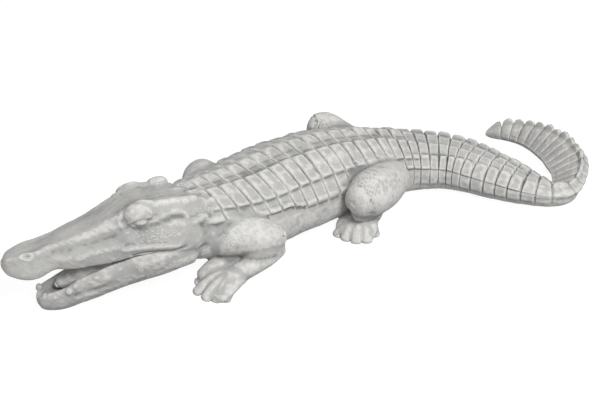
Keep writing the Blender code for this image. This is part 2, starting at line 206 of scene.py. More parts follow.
FRONT_TOES = ((-0.180, -0.137), (-0.192, -0.132), (-0.203, -0.122), (-0.209, -0.101), (-0.198, -0.078))
HIND_LEG = (
    (
        (0.165, 0.005, 0.052, 0.030, 0.030),
        (0.128, -0.030, 0.062, 0.035, 0.035),
        (0.094, -0.052, 0.067, 0.035, 0.036),
        (0.070, -0.064, 0.067, 0.025, 0.027),
    ),
    (
        (0.078, -0.056, 0.050, 0.018, 0.022),
        (0.100, -0.046, 0.038, 0.019, 0.021),
        (0.106, -0.034, 0.022, 0.019, 0.019),
    ),
    (
        (0.104, -0.026, 0.018, 0.021, 0.018),
        (0.080, -0.045, 0.015, 0.033, 0.0145),
        (0.068, -0.058, 0.007, 0.032, 0.0105),
    ),
)
# The far thigh's knee is higher than the near one's
FAR_THIGH = (
    (0.165, 0.005, 0.044, 0.030, 0.028),
    (0.142, -0.028, 0.060, 0.033, 0.032),
    (0.120, -0.048, 0.083, 0.029, 0.030),
    (0.104, -0.058, 0.086, 0.020, 0.024),
)
HIND_PALM = (0.094, -0.032, 0.019)
HIND_TOES = ((0.045, -0.042), (0.051, -0.059), (0.062, -0.073), (0.078, -0.079), (0.098, -0.068))
TOE_RADIUS = 0.0108
KNUCKLE_RISE = 0.0062
TOE_TIP_HEIGHT = 0.002
# Half width and half height of a toe at the palm, the knuckle and the tip, as shares of TOE_RADIUS
TOE_WIDTHS = ((0.80, 0.80), (0.92, 0.90), (0.84, 0.62))
DOME_REACH = 0.62  # how far the end of a tube is rounded out, as a share of its half width

# Domes of the head on the near side, each a centre and its three half sizes: brow, eyeball
BROW = ((-0.2800, -0.0875, 0.1400), (0.0235, 0.0135, 0.0175))
EYEBALL = ((-0.2815, -0.0965, 0.1325), (0.0092, 0.0064, 0.0060))
# Domes on one side only: the bump at the back of the skull, and the knobs of the teeth along the lower jaw
REAR_BUMP = ((-0.2360, -0.0300, 0.1500), (0.0160, 0.0110, 0.0085))
TEETH = (
    ((-0.3834, -0.0700, 0.0330), (0.0065, 0.0052, 0.0075)),
    ((-0.3740, -0.0715, 0.0390), (0.0055, 0.0045, 0.0060)),
    ((-0.3460, -0.0800, 0.0515), (0.0060, 0.0035, 0.0042)),
    ((-0.4143, -0.0570, 0.0230), (0.0055, 0.0050, 0.0070)),
    ((-0.4020, -0.0640, 0.0250), (0.0055, 0.0044, 0.0065)),
    ((-0.4166, -0.0302, 0.0250), (0.0050, 0.0045, 0.0060)),
)

# The far side is the near side mirrored: a point on the mirror's plane, its direction, and how far back the
# copy then lies along it and how much higher
HEAD_MIRROR = ((-0.278, -0.0580), (0.993, -0.120), (0.0, 0.0))
SHOULDER_MIRROR = ((-0.130, -0.008), (0.920, 0.390), (0.050, 0.018))
HIP_MIRROR = ((0.150, 0.051), (0.985, 0.170), (0.022, 0.008))

# Lines of carving on both sides of the head, given on the near side: height (below 0 for a crease), half
# width, then the points
HEAD_LINES = {
    "nostril ring": (0.0010, 0.0022, (
        (-0.4419, -0.0581, 0.0950), (-0.4361, -0.0553, 0.0995), (-0.4285, -0.0582, 0.0991),
        (-0.4261, -0.0621, 0.0952), (-0.4330, -0.0620, 0.0916), (-0.4419, -0.0581, 0.0950),
    )),
    "nostril": (-0.0020, 0.0028, (
        (-0.4355, -0.0585, 0.0965), (-0.4320, -0.0600, 0.0965),
    )),
    "groove along the snout": (-0.0006, 0.0060, (
        (-0.4200, -0.0505, 0.1002), (-0.3907, -0.0492, 0.1071), (-0.3642, -0.0526, 0.1153),
        (-0.3350, -0.0609, 0.1255), (-0.3101, -0.0776, 0.1378),
    )),
    "ridge along the snout": (0.0009, 0.0050, (
        (-0.4065, -0.0578, 0.1029), (-0.3805, -0.0670, 0.1097), (-0.3518, -0.0750, 0.1176),
        (-0.3230, -0.0835, 0.1260), (-0.3080, -0.0860, 0.1290),
    )),
    "crease below the ridge": (-0.0005, 0.0040, (
        (-0.3980, -0.0650, 0.0975), (-0.3720, -0.0750, 0.1010), (-0.3440, -0.0830, 0.1080),
        (-0.3180, -0.0890, 0.1150),
    )),
    "swelling over the lip": (0.0018, 0.0070, (
        (-0.3943, -0.0698, 0.0869), (-0.3699, -0.0775, 0.0870), (-0.3444, -0.0842, 0.0930),
        (-0.3156, -0.0920, 0.0990),
    )),
    "ridge before the eye": (0.0018, 0.0026, (
        (-0.2990, -0.0680, 0.1430), (-0.3049, -0.0850, 0.1423), (-0.3094, -0.0868, 0.1350),
        (-0.3080, -0.0900, 0.1280),
    )),
    "rim of the brow": (0.0007, 0.0026, (
        (-0.3010, -0.0850, 0.1440), (-0.2950, -0.0780, 0.1530), (-0.2840, -0.0760, 0.1600),
        (-0.2730, -0.0780, 0.1620), (-0.2600, -0.0810, 0.1570), (-0.2422, -0.0800, 0.1530),
        (-0.2213, -0.0800, 0.1510),
    )),
    "slit of the eye": (-0.0012, 0.0018, (
        (-0.2960, -0.0930, 0.1310), (-0.2890, -0.0985, 0.1355), (-0.2815, -0.1000, 0.1370),
        (-0.2740, -0.0995, 0.1353), (-0.2650, -0.0970, 0.1315),
    )),
    "lower lid": (0.0009, 0.0024, (
        (-0.2975, -0.0925, 0.1330), (-0.2899, -0.0965, 0.1265), (-0.2760, -0.0985, 0.1265),
        (-0.2660, -0.0990, 0.1310),
    )),
    "ear flap": (0.0018, 0.0034, (
        (-0.2640, -0.0985, 0.1300), (-0.2500, -0.0975, 0.1352), (-0.2330, -0.0970, 0.1372),
        (-0.2190, -0.0985, 0.1325), (-0.2150, -0.0998, 0.1260),
    )),
    "ear hollow": (-0.0020, 0.0040, (
        (-0.2430, -0.1005, 0.1270), (-0.2340, -0.1015, 0.1300), (-0.2240, -0.1016, 0.1272),
    )),
    "under the ear": (0.0010, 0.0024, (
        (-0.2440, -0.1015, 0.1230), (-0.2300, -0.1025, 0.1225), (-0.2160, -0.1010, 0.1240),
    )),
    "upper lip": (0.0026, 0.0042, (
        (-0.3080, -0.0950, 0.0940), (-0.2940, -0.0990, 0.0950), (-0.2799, -0.1007, 0.0940),
        (-0.2576, -0.1036, 0.0915), (-0.2345, -0.1054, 0.0885),
    )),
    "corner of the mouth": (-0.0030, 0.0028, (
        (-0.2950, -0.0975, 0.0830), (-0.2691, -0.1012, 0.0832), (-0.2367, -0.1046, 0.0800),
        (-0.2230, -0.1040, 0.0830),
    )),
    "crease along the jaw": (-0.0012, 0.0040, (
        (-0.3747, -0.0737, 0.0270), (-0.3560, -0.0790, 0.0320), (-0.3376, -0.0826, 0.0360),
        (-0.3200, -0.0860, 0.0400),
    )),
    "swelling of the jaw": (0.0020, 0.0080, (
        (-0.3482, -0.0815, 0.0450), (-0.3350, -0.0840, 0.0500),
    )),
    "swelling at the cheek": (0.0025, 0.0100, (
        (-0.2850, -0.0960, 0.0650), (-0.2600, -0.1000, 0.0690),
    )),
    "fold of the neck": (-0.0032, 0.0085, (
        (-0.1896, -0.0934, 0.1050), (-0.1879, -0.0963, 0.0869), (-0.1900, -0.0959, 0.0700),
    )),
}
FAR_LINES_SHARE = 0.7  # on the far side of the head they are lighter by this share
# The same for lines on the near side of the body and its legs
NEAR_LINES = {
    "crease under the arm": (-0.0026, 0.0042, (
        (-0.1653, -0.0786, 0.0389), (-0.1438, -0.0910, 0.0335), (-0.1192, -0.1180, 0.0405),
        (-0.0923, -0.1178, 0.0392),
    )),
    "fold of the shoulder": (-0.0018, 0.0022, (
        (-0.1373, -0.1038, 0.0763), (-0.1451, -0.1050, 0.0657), (-0.1461, -0.1027, 0.0589),
    )),
    "crease under the thigh": (-0.0024, 0.0022, (
        (0.0573, -0.0696, 0.0680), (0.0722, -0.0808, 0.0556), (0.0920, -0.0790, 0.0500),
        (0.1156, -0.0703, 0.0474),
    )),
}
# Small bumps on the near side: height, half width, places
NEAR_BUMPS = {
    "knobs on the shoulder": (0.0022, 0.0030, (
        (-0.1511, -0.0987, 0.0732), (-0.1446, -0.1021, 0.0725), (-0.1481, -0.1018, 0.0695),
    )),
    "knobs on the thigh": (0.0014, 0.0022, (
        (0.0694, -0.0814, 0.0752), (0.0811, -0.0837, 0.0755), (0.0878, -0.0854, 0.0692),
        (0.0760, -0.0835, 0.0700), (0.0930, -0.0850, 0.0740),
    )),
}
# Plates of the nape, each a short crest: its middle, and how high
NAPE_PLATES = (
    (-0.2100, -0.0529, 0.1448, 0.0035),
    (-0.2077, -0.0840, 0.1440, 0.0040),
    (-0.1980, -0.0300, 0.1380, 0.0040),
    (-0.1756, -0.0700, 0.1260, 0.0050),
    (-0.1736, -0.0880, 0.1050, 0.0040),
    (-0.1959, -0.0900, 0.1150, 0.0045),
    (-0.1900, -0.0550, 0.1370, 0.0050),
    (-0.1800, -0.0050, 0.1290, 0.0045),
)
# Striae on the tops of the thighs: the middle and the half sizes of the near patch, the pitch of the grooves,
# and their depth on the near and the far side
STRIAE_MIDDLE = np.array((0.100, -0.052, 0.088))
STRIAE_SIZES = (0.050, 0.034, 0.022)
STRIAE_PITCH = 0.0062
STRIAE_DEPTHS = ((None, 0.0008), (HIP_MIRROR, 0.0014))
# Pebbled skin, each patch a middle and three half sizes: near cheek, far cheek, back of the skull, nape, near
# shoulder, near side of the back
PEBBLE_PATCHES = (
    ((-0.260, -0.101, 0.110), (0.030, 0.014, 0.013)),
    ((-0.262, -0.016, 0.115), (0.034, 0.014, 0.018)),
    ((-0.236, -0.030, 0.158), (0.020, 0.016, 0.010)),
    ((-0.185, -0.086, 0.120), (0.018, 0.020, 0.020)),
    ((-0.148, -0.100, 0.072), (0.016, 0.016, 0.014)),
    ((0.045, 0.000, 0.108), (0.030, 0.022, 0.014)),
)
# Unevenness of the cast skin, each a height in metres, the size of its waves in metres, and a seed
BROAD_WAVES = (0.00030, 0.045, 5)
FINE_WAVES = (0.00010, 0.012, 6)
HEAD_WAVES = (0.00007, 0.0055, 8)
PEBBLES = (0.00030, 0.0075, 7)

# Colours of the stone: the two that the casting is blotched with, painted shade for its sides and hollows, paler
# raised flats (partly dry brush, partly painted highlight), painted shade for crevices, paler edges (partly dry
# brush, partly painted highlight) and the tops of the pebbles
STONE_DARK = (0.310, 0.310, 0.304, 1)
STONE_LIGHT = (0.400, 0.396, 0.382, 1)
SHADED_SIDE = (0.170, 0.172, 0.176, 1)
PAINTED_HOLLOW_SHADE = (0.180, 0.180, 0.176, 1)
BRUSHED_AND_HIGHLIT_FLAT = (0.560, 0.552, 0.530, 1)
PAINTED_CREVICE_SHADE = (0.150, 0.150, 0.147, 1)
BRUSHED_AND_HIGHLIT_EDGE = (0.680, 0.672, 0.650, 1)
PEBBLE_TOP = (0.820, 0.810, 0.780, 1)

# Lamps of the studio: name, place in metres, size in metres, power in watts
LAMPS = (("key", (0.15, -1.90, 2.05), 0.9, 69.0), ("fill", (-1.9, -1.5, 0.7), 1.0, 6.0))
WORLD_STRENGTH = 0.42
FLOOR_HALF = 20.0
FLOOR_GLOW = 0.93

# Camera of the photograph: degrees round from -Y, below 0 towards the snout, degrees above the ground, distance
# and the point aimed at in shares of LENGTH, focal length for a sensor 36 mm wide
CAMERA_TURN = -25
CAMERA_RISE = 29
CAMERA_DISTANCE = 1.786
CAMERA_AIM = np.array((0.0, 0.0, 0.0536))
CAMERA_LENS = 69.6


def between(before, start, end, after, share):
    """Catmull-Rom curve: the point at this share of the way from start to end, bent by the points around them."""
    return 0.5 * (
        2 * start
        + (end - before) * share
        + (2 * before - 5 * start + 4 * end - after) * share**2
        + (3 * start - before - 3 * end + after) * share**3
    )


def through(rows, places):
    """Catmull-Rom curve through rows of numbers: place 0 is the first row, 1 the second, and so on."""
    rows = np.asarray(rows, float)
    last = len(rows) - 1
    places = np.clip(np.asarray(places, float), 0, last)
    left = np.minimum(places.astype(int), last - 1)
    share = (places - left)[..., None]
    before, start = rows[np.maximum(left - 1, 0)], rows[left]
    end, after = rows[left + 1], rows[np.minimum(left + 2, last)]
    return between(before, start, end, after, share)


def ramp(values, low, high):
    """0 below low, 1 above high, and a smooth step between them."""
    share = np.clip((values - low) / (high - low), 0, 1)
    return share * share * (3 - 2 * share)


def stand(line, way, across, height):
    """Points that stand upright across a line on the ground: across is how far left of it, seen from the tail."""
    way = way / np.linalg.norm(way, axis=-1, keepdims=True)
    left = np.stack([way[..., 1], -way[..., 0]], axis=-1)
    return np.concatenate([line + across[..., None] * left, height[..., None]], axis=-1)


def rows_along_the_body():
    """Row number at fine places along BODY: the run of its centre line over the pitch of the plates there."""
    fine = np.linspace(0, len(BODY) - 1, 2000)
    points = through(BODY, fine)[:, :2]
    run = np.concatenate([[0], np.cumsum(np.linalg.norm(np.diff(points, axis=0), axis=1))])
    pitch = BACK_PITCH + (TAIL_PITCH - BACK_PITCH) * ramp(fine, 5, 9)
    rows = np.concatenate([[0], np.cumsum(np.diff(run) / pitch[1:])])
    return fine, rows - np.interp(FIRST_ROW, fine, rows)


def plates(number, place, steps, side):
    """How far the plates stand out of the body, and how deep the grooves between rows are, in shares of LENGTH.

    Across a plate the height follows RELIEF: steep up to the crest, then falling away down the side. Along it
    the crest is a trapezoid with rounded corners, the rest of the plate a flat with narrow grooves at its ends.
    On the hook of the tail each row is one fin, half of a rounded bar. Each plate is drawn a little higher or
    lower than its neighbours.
    """
    steps_of, *heights = np.array(RELIEF).T
    wider = ramp(place, 3.3, 3.9) * (1 - ramp(place, 5.7, 6.3))
    steps = steps - 8 * wider * ramp(steps, 47, 60)
    back, tail, hook = (np.interp(steps, steps_of, height) for height in heights)
    back = np.where((side < 0) & (steps < 13), 0.30 + 0.065 * steps, back)
    back = back + (tail - back) * ramp(place, 7.2, 8.6)
    in_row = number % 1
    near_end = np.minimum(in_row, 1 - in_row)
    corner = ramp(near_end, 0.0, 0.26)
    flat = ramp(near_end, 0.0, 0.10)
    fin = np.sqrt(np.clip(1 - np.abs(2 * in_row - 1) ** 2.1, 0, 1))
    draws = np.random.default_rng(3).uniform(0.84, 1.16, (80, 8))
    under_the_lip = np.where(place < 7.9, 46.5, 37.5)
    column = (steps > 9) * 1 + (steps > under_the_lip) + (steps > 65.5)
    column = np.where(side < 0, 4 + np.maximum(column, 1), column)
    uneven = draws[np.clip(number.astype(int), 0, 79), column]
    low = np.minimum(back, 0.6) * flat + np.maximum(back - 0.6, 0) * corner
    hooked = ramp(place, 10.6, MERGE_END)
    height = CREST_HEIGHT * low * (1 - hooked) + FIN_HEIGHT * hook * fin * hooked
    reach = 67 + 43 * ramp(place, 6.2, 8.2)
    groove = np.exp(-((near_end / 0.045) ** 2)) * (1 - ramp(steps, reach - 3, reach + 2))
    return height * uneven, GROOVE_DEPTH * groove


def torso():
    """Half ellipses above and squarer halves below, swept along BODY, with the plates of the back raised."""
    fine, rows = rows_along_the_body()
    numbers = (np.arange(np.ceil(rows[0]), rows[-1])[:, None] + ROW_STEPS).ravel()
    numbers = np.append(numbers[numbers < rows[-1] - 0.03], rows[-1] - 0.02)
    steps = np.concatenate([ROUND_STEPS, ROUND_STEPS[-2:0:-1]])[None, :]
    side = np.where(np.arange(steps.shape[1]) < len(ROUND_STEPS), 1.0, -1.0)[None, :]
    number = numbers[:, None] + 0 * steps
    place = np.interp(number, rows, fine)
    # Round the near hip the lower plates are about half a row out of step with the upper ones
    around_hip = ramp(place, 5.0, 5.6) * (1 - ramp(place, 6.8, 7.4))
    number = number + 0.45 * ramp(steps, 38, 42) * around_hip * ramp(side, 0, 1)
    place = np.interp(number, rows, fine)
    table = through(BODY, place)
    line = table[..., :2]
    middle, width, rise, drop, lean = np.moveaxis(table[..., 2:], -1, 0)
    way = (through(BODY, place + 0.03) - through(BODY, place - 0.03))[..., :2]
    merged = ramp(place, MERGE_START, MERGE_END)
    angle = np.radians(steps + (np.interp(steps, BACK_ANGLES, TAIL_ANGLES) - steps) * merged)
    turned = side * angle + CREST_ROLL * (1 + np.cos(angle)) / 2 * (1 - merged)
    held = np.minimum(number, np.floor(rows[-1]) - 0.5)  # the tip is one rounded leaf
    height, groove = plates(held, place, steps + 0 * place, side + 0 * place)
    shown = ramp(place, FIRST_ROW - RISE_BEFORE, FULL_ROW - RISE_BEFORE)
    lift = height * shown * np.minimum(1, rise / 0.014) - groove * shown
    last = 1 - np.clip((rows[-1] - number) / 1.3, 0, 1)
    tip = np.sqrt(1 - 0.98 * last**2)
    width, rise, drop, lift = width * tip, rise * tip, drop * tip, lift * tip
    sine, cosine = np.sin(turned), np.cos(turned)
    upper = np.maximum(cosine, 0)
    hollow = np.where(sine < 0, 1 + 1.6 * lean, 1)
    across = np.where(cosine > 0, sine, np.sign(sine) * np.abs(sine) ** 0.9) * width + lean * width * upper**1.2
    up = middle + np.where(cosine > 0, rise * upper**hollow, -drop * np.abs(cosine) ** 0.75)
    return stand(line, way, across + lift * sine, up + lift * upper)


def round_off(controls, count):
    """Closed Catmull-Rom curves through the corners of each section, count points round."""
    corners = controls.shape[1]
    turn = np.arange(count) * corners / count
    left = turn.astype(int)
    share = (turn - left)[None, :, None]
    before, start, end, after = (controls[:, (left + step) % corners] for step in (-1, 0, 1, 2))
    return between(before, start, end, after, share)


def both_sides(across, height):
    """Corners of a whole section from those of its left half, which run from the top to the bottom."""
    across, height = np.stack(across, axis=1), np.stack(height, axis=1)
    across = np.concatenate([across, -across[:, -2:0:-1]], axis=1)
    return across, np.concatenate([height, height[:, -2:0:-1]], axis=1)


def sections(table, places, across, height, count):
    """Sections stood across the line of a table and rounded off."""
    line = table[:, None, :2] + 0 * across[..., None]
    way = np.gradient(table[:, :2], axis=0)[:, None, :] + 0 * line
    return round_off(stand(line, way, across, height), count)


def skull():
    """Sections with a crown, a top edge, a lip and a hollow palate, closest at the tip and from the eyes back."""
    places = np.concatenate([np.linspace(0, 2, 22), np.linspace(2, 7, 62)[1:], np.linspace(7, 14, 98)[1:]])
    table = through(SKULL, places)
    width, lip, edge, top, crown, palate = table[:, 2:].T
    across = (0 * width, 0.5 * edge, edge, 0.6 * width + 0.4 * edge, width, 0.97 * width, 0.8 * width, 0 * width)
    height = (
        top + crown,
        top + 0.7 * crown,
        top,
        0.62 * top + 0.38 * lip,
        0.22 * top + 0.78 * lip,
        lip,
        lip + 0.2 * palate,
        lip + palate,
    )
    return domed(sections(table, places, *both_sides(across, height), 112), 0.002)


def lower_jaw():
    """A trough: a rim, sides that round under to a flat keel, and the floor of the mouth between the rims."""
    places = np.linspace(0, len(JAW) - 1, 90)
    table = through(JAW, places)
    width, rim, under, depth = table[:, 2:].T
    across = (0 * width, 0.5 * width, 0.74 * width, 0.92 * width, width, 0.93 * width, 0.6 * width, 0 * width)
    height = (
        rim - depth,
        rim - 0.9 * depth,
        rim - 0.05 * depth,
        rim,
        0.75 * rim + 0.25 * under,
        0.35 * rim + 0.65 * under,
        0.05 * rim + 0.95 * under,
        under,
    )
    return domed(sections(table, places, *both_sides(across, height), 84), 0.002)


def domed(rings, reach):
    """The rings with both ends rounded off: an end ring shrinks as a cosine while it moves out as a sine."""
    turn = np.radians((28, 54, 74, 86))[:, None, None]
    caps = []
    for ring, inner in ((rings[0], rings[1]), (rings[-1], rings[-2])):
        centre = ring.mean(axis=0)
        out = centre - inner.mean(axis=0)
        out = out / np.linalg.norm(out) * reach
        caps.append(centre + (ring - centre)[None] * np.cos(turn) + out * np.sin(turn))
    return np.concatenate([caps[0][::-1], rings, caps[1]])


def tube(rows, count, around):
    """Ellipses square to a curve in space through the rows, closest at its ends, which are domed."""
    along = 0.5 - 0.5 * np.cos(np.linspace(0, np.pi, count))
    rows = through(rows, along * (len(rows) - 1))
    line, width, height = rows[:, :3], rows[:, 3], rows[:, 4]
    way = np.gradient(line, axis=0)
    way /= np.linalg.norm(way, axis=1, keepdims=True)
    side = np.cross(way, (0, 0, 1))
    side /= np.linalg.norm(side, axis=1, keepdims=True)
    up = np.cross(side, way)
    turn = np.linspace(0, 2 * np.pi, around, endpoint=False)[None, :, None]
    ring = side[:, None] * np.cos(turn) * width[:, None, None] + up[:, None] * np.sin(turn) * height[:, None, None]
    return domed(line[:, None, :] + ring, DOME_REACH * min(width[0], width[-1]))


def dome(centre, sizes, count=22, around=30):
    """An ellipsoid: rings along X whose radius is the sine of the turn and whose place is its cosine."""
    turn = np.linspace(0.12, np.pi - 0.12, count)[:, None]
    round_turn = np.linspace(0, 2 * np.pi, around, endpoint=False)[None, :]
    along, radius = np.cos(turn) + 0 * round_turn, np.sin(turn)
    unit = np.stack([along, radius * np.cos(round_turn), radius * np.sin(round_turn)], axis=-1)
    return unit * sizes + centre


def toe(palm, tip):
    """A line that arches from the palm over a knuckle to a tip on the ground."""
    start, end = np.array(palm), np.array((*tip, TOE_TIP_HEIGHT))
    knuckle = start * 0.40 + end * 0.60 + (0, 0, KNUCKLE_RISE)
    line = zip((start, knuckle, end), TOE_WIDTHS)
    return [(*point, TOE_RADIUS * width, TOE_RADIUS * height) for point, (width, height) in line]


def leg(parts, palm, tips):
    """The upper limb, then the lower limb and the parts of the foot, then the toes."""
    forms = [tube(parts[0], 50, 46)]
    forms += [tube(rows, 30, 36) for rows in parts[1:]]
    return forms + [tube(toe(palm, tip), 20, 18) for tip in tips]


def mirrored(points, mirror):
    """The same points on the other side of an upright plane, moved back along it and raised above the ground."""
    points = np.asarray(points, float)
    point, way = np.array(mirror[0]), np.array(mirror[1]) / np.linalg.norm(mirror[1])
    back, higher = mirror[2]
    away = points[..., :2] - point
    along = (away @ way)[..., None] * way
    flat = point + 2 * along - away + back * way
    height = points[..., 2:] + higher * ramp(points[..., 2:], 0.010, 0.050)
    return np.concatenate([flat, height], axis=-1)


def with_copies(forms, mirror):
    """Forms of the near side with their copies on the far side."""
    return forms + [mirrored(rings, mirror) for rings in forms]


def skin(name, rings):
    """A closed object over the rings, each end closed to its middle, in metres from MIDDLE, and its points."""
    count, around = rings.shape[:2]
    middles = [rings[0].mean(axis=0), rings[-1].mean(axis=0)]
    points = (np.concatenate([rings.reshape(-1, 3), middles]) - MIDDLE) * LENGTH
    index = np.arange(count * around).reshape(count, around)
    ahead = np.roll(index, -1, axis=1)
    walls = np.stack([index[:-1], ahead[:-1], ahead[1:], index[1:]], axis=-1).reshape(-1, 4).tolist()
    first = [(count * around, b, a) for a, b in zip(index[0].tolist(), ahead[0].tolist())]
    last = [(count * around + 1, a, b) for a, b in zip(index[-1].tolist(), ahead[-1].tolist())]
    mesh = bpy.data.meshes.new(name)
    mesh.from_pydata(points.tolist(), [], walls + first + last)
    work = bmesh.new()
    work.from_mesh(mesh)
    bmesh.ops.recalc_face_normals(work, faces=work.faces)
    work.to_mesh(mesh)
    work.free()
    return bpy.data.objects.new(name, mesh), points


def ground_slab():
    """A block whose top is the ground."""
    mesh = bpy.data.meshes.new("ground")
    work = bmesh.new()
    bmesh.ops.create_cube(work, size=2 * LENGTH)
    bmesh.ops.translate(work, verts=work.verts, vec=(0, 0, -LENGTH))
    work.to_mesh(mesh)
    work.free()
    return bpy.data.objects.new("ground", mesh)


def arrays_of(mesh):
    """Points and triangles of a mesh."""
    mesh.calc_loop_triangles()
    points = np.empty(len(mesh.vertices) * 3)
    mesh.vertices.foreach_get("co", points)
    triangles = np.empty(len(mesh.loop_triangles) * 3, int)
    mesh.loop_triangles.foreach_get("vertices", triangles)
    return points.reshape(-1, 3), triangles.reshape(-1, 3)


def largest_body(points, triangles):
    """The largest connected body, without pairs of triangles on the same three points.

    A union of skins that graze each other leaves such slivers and folds. Each point takes the lowest label among
    its triangles until no label changes.
    """
    label = np.arange(len(points))
    while True:
        low = label[triangles].min(axis=1)
        new = label.copy()
        for corner in range(3):
            np.minimum.at(new, triangles[:, corner], low)
        new = new[new]
        if (new == label).all():
            break
        label = new
    names, counts = np.unique(label[triangles[:, 0]], return_counts=True)
    kept = triangles[label[triangles[:, 0]] == names[counts.argmax()]]
    _, number, twins = np.unique(np.sort(kept, axis=1), axis=0, return_inverse=True, return_counts=True)
    kept = kept[twins[number.ravel()] == 1]
    used, index = np.unique(kept, return_inverse=True)
    return points[used], index.reshape(-1, 3)


def place_numbers(points):
    """One whole number for the place of each point, to a hundredth of a millimetre."""
    rows = np.round(points * 1e5).astype(np.int64)
    return (rows[:, 0] * 1_000_003 + rows[:, 1]) * 1_000_003 + rows[:, 2]


def cast_as_one(forms):
    """Points and triangles of the union of the forms, cut flat at the ground, and which points joins have made."""
    scene = bpy.context.scene.collection
    group = bpy.data.collections.new("forms")
    scene.children.link(group)
    skins = [skin(f"form {number}", rings) for number, rings in enumerate(forms)]
    body = skins[0][0]
    scene.objects.link(body)
    for piece, _ in skins[1:]:
        group.objects.link(piece)
    ground = ground_slab()
    scene.objects.link(ground)
    union = body.modifiers.new("join", "BOOLEAN")
    union.operation = "UNION"
    union.operand_type = "COLLECTION"
    union.collection = group
    union.solver = "MANIFOLD"
    cut = body.modifiers.new("flat underside", "BOOLEAN")
    cut.operation = "DIFFERENCE"
    cut.object = ground
    cut.solver = "MANIFOLD"
    graph = bpy.context.evaluated_depsgraph_get()
    points, triangles = largest_body(*arrays_of(body.evaluated_get(graph).to_mesh()))
    for piece in (*[piece for piece, _ in skins], ground):
        bpy.data.objects.remove(piece)
    bpy.data.collections.remove(group)
    of_forms = place_numbers(np.concatenate([own for _, own in skins]))
    joins = ~np.isin(place_numbers(points), of_forms) & (points[:, 2] > UNDERSIDE_TOP)
    return points, triangles, joins


def edges_of(triangles):
    """Each edge of the triangles once, as its two points."""
    ends = np.sort(np.concatenate([triangles[:, :2], triangles[:, 1:], triangles[:, ::2]]), axis=1)
    return np.unique(ends, axis=0)


def mean_of_neighbours(values, edges):
    """Mean over each point's neighbours along the edges."""
    count = np.bincount(edges.ravel(), minlength=len(values))[:, None]
    total = np.zeros_like(values)
    for axis in range(values.shape[1]):
        total[:, axis] += np.bincount(edges[:, 0], values[edges[:, 1], axis], len(values))
        total[:, axis] += np.bincount(edges[:, 1], values[edges[:, 0], axis], len(values))
    return total / np.maximum(count, 1)


def smoothed(points, edges, weight, rounds):
    """Each round moves a point half of its weight towards the mean of its neighbours."""
    for _ in range(rounds):
        points = points + 0.5 * weight[:, None] * (mean_of_neighbours(points, edges) - points)
    return points


def distance_along(points, edges, starts, rounds=14):
    """Rough distance over the skin from the starting points, found by steps along the edges."""
    far = np.where(starts, 0.0, 1.0)
    length = np.linalg.norm(points[edges[:, 0]] - points[edges[:, 1]], axis=1)
    for _ in range(rounds):
        for a, b in ((0, 1), (1, 0)):
            np.minimum.at(far, edges[:, a], far[edges[:, b]] + length)
    return far


def normals_of(points, triangles):
    """Normals of the points: the sum of the cross products of the triangles round each."""
    a, b, c = (points[triangles[:, corner]] for corner in range(3))
    cross = np.cross(b - a, c - a)
    total = np.zeros_like(points)
    for corner in range(3):
        for axis in range(3):
            total[:, axis] += np.bincount(triangles[:, corner], cross[:, axis], len(points))
    return total / np.maximum(np.linalg.norm(total, axis=1, keepdims=True), 1e-20)


def beside(points, line, width):
    """1 on a line of points in space, falling as a bell of this half width to 0 beside it."""
    line = np.array(line, float)
    nearest = np.full(len(points), 1.0)
    close = (np.abs(points - line.mean(axis=0)) < np.ptp(line, axis=0) / 2 + 0.03).all(axis=1)
    near = points[close]
    best = np.full(len(near), 1.0)
    for start, end in zip(line[:-1], line[1:]):
        span = end - start
        share = np.clip((near - start) @ span / max(span @ span, 1e-12), 0, 1)
        best = np.minimum(best, np.linalg.norm(near - start - share[:, None] * span, axis=1))
    nearest[close] = best
    return np.exp(-((nearest / width) ** 2))


def rounded_line(line, count=24):
    """A smooth curve through the points of a line."""
    line = np.array(line, float)
    return through(line, np.linspace(0, len(line) - 1, count))


def waves(points, size, seed, count=14):
    """A random soft field about as large as size: a sum of sine waves in random directions, scaled to about 1."""
    draws = np.random.default_rng(seed)
    field = np.zeros(len(points))
    for _ in range(count):
        way = draws.normal(size=3)
        way *= 2 * np.pi / size * draws.uniform(0.7, 1.4) / np.linalg.norm(way)
        field += np.sin(points @ way + draws.uniform(0, 2 * np.pi))
    return field / np.sqrt(count / 2)


def carving(points):
    """Height of the lines, bumps, nape plates and striae at points in the carver's coordinates."""
    height = np.zeros(len(points))
    for rise, width, line in HEAD_LINES.values():
        height += rise * beside(points, rounded_line(line), width)
        far_line = rounded_line(mirrored(line, HEAD_MIRROR))
        height += FAR_LINES_SHARE * rise * beside(points, far_line, width)
    for rise, width, line in NEAR_LINES.values():
        height += rise * beside(points, rounded_line(line), width)
    for rise, width, places in NEAR_BUMPS.values():
        for place in places:
            height += rise * beside(points, (place, place), width)
    for x, y, z, rise in NAPE_PLATES:
        crest = ((x - 0.008, y - 0.003, z), (x + 0.008, y + 0.004, z - 0.003))
        groove = ((x - 0.008, y + 0.006, z + 0.002), (x + 0.008, y + 0.013, z))
        height += rise * beside(points, crest, 0.0050)
        height -= 0.4 * rise * beside(points, groove, 0.0035)
    return height + striae(points)


def striae(points):
    """Fine curved grooves over the tops of the thighs: a wave along X that bends with height."""
    total = np.zeros(len(points))
    for mirror, depth in STRIAE_DEPTHS:
        centre = mirrored(STRIAE_MIDDLE, mirror) if mirror else STRIAE_MIDDLE
        away = points - centre
        inside = 1 - ramp(((away / STRIAE_SIZES) ** 2).sum(axis=1), 0.6, 1.2)
        bend = away[:, 0] + 0.55 * np.abs(away[:, 1]) - 0.5 * away[:, 2]
        total -= depth * inside * ramp(np.sin(bend * 2 * np.pi / STRIAE_PITCH), 0.2, 1.0)
    return total


def pebbled(points):
    """How far the skin is pebbled, 0 to 1: a bell over the middle of each patch."""
    total = np.zeros(len(points))
    for centre, sizes in PEBBLE_PATCHES:
        total += np.exp(-(((points - centre) / sizes) ** 2).sum(axis=1))
    return np.clip(total, 0, 1)


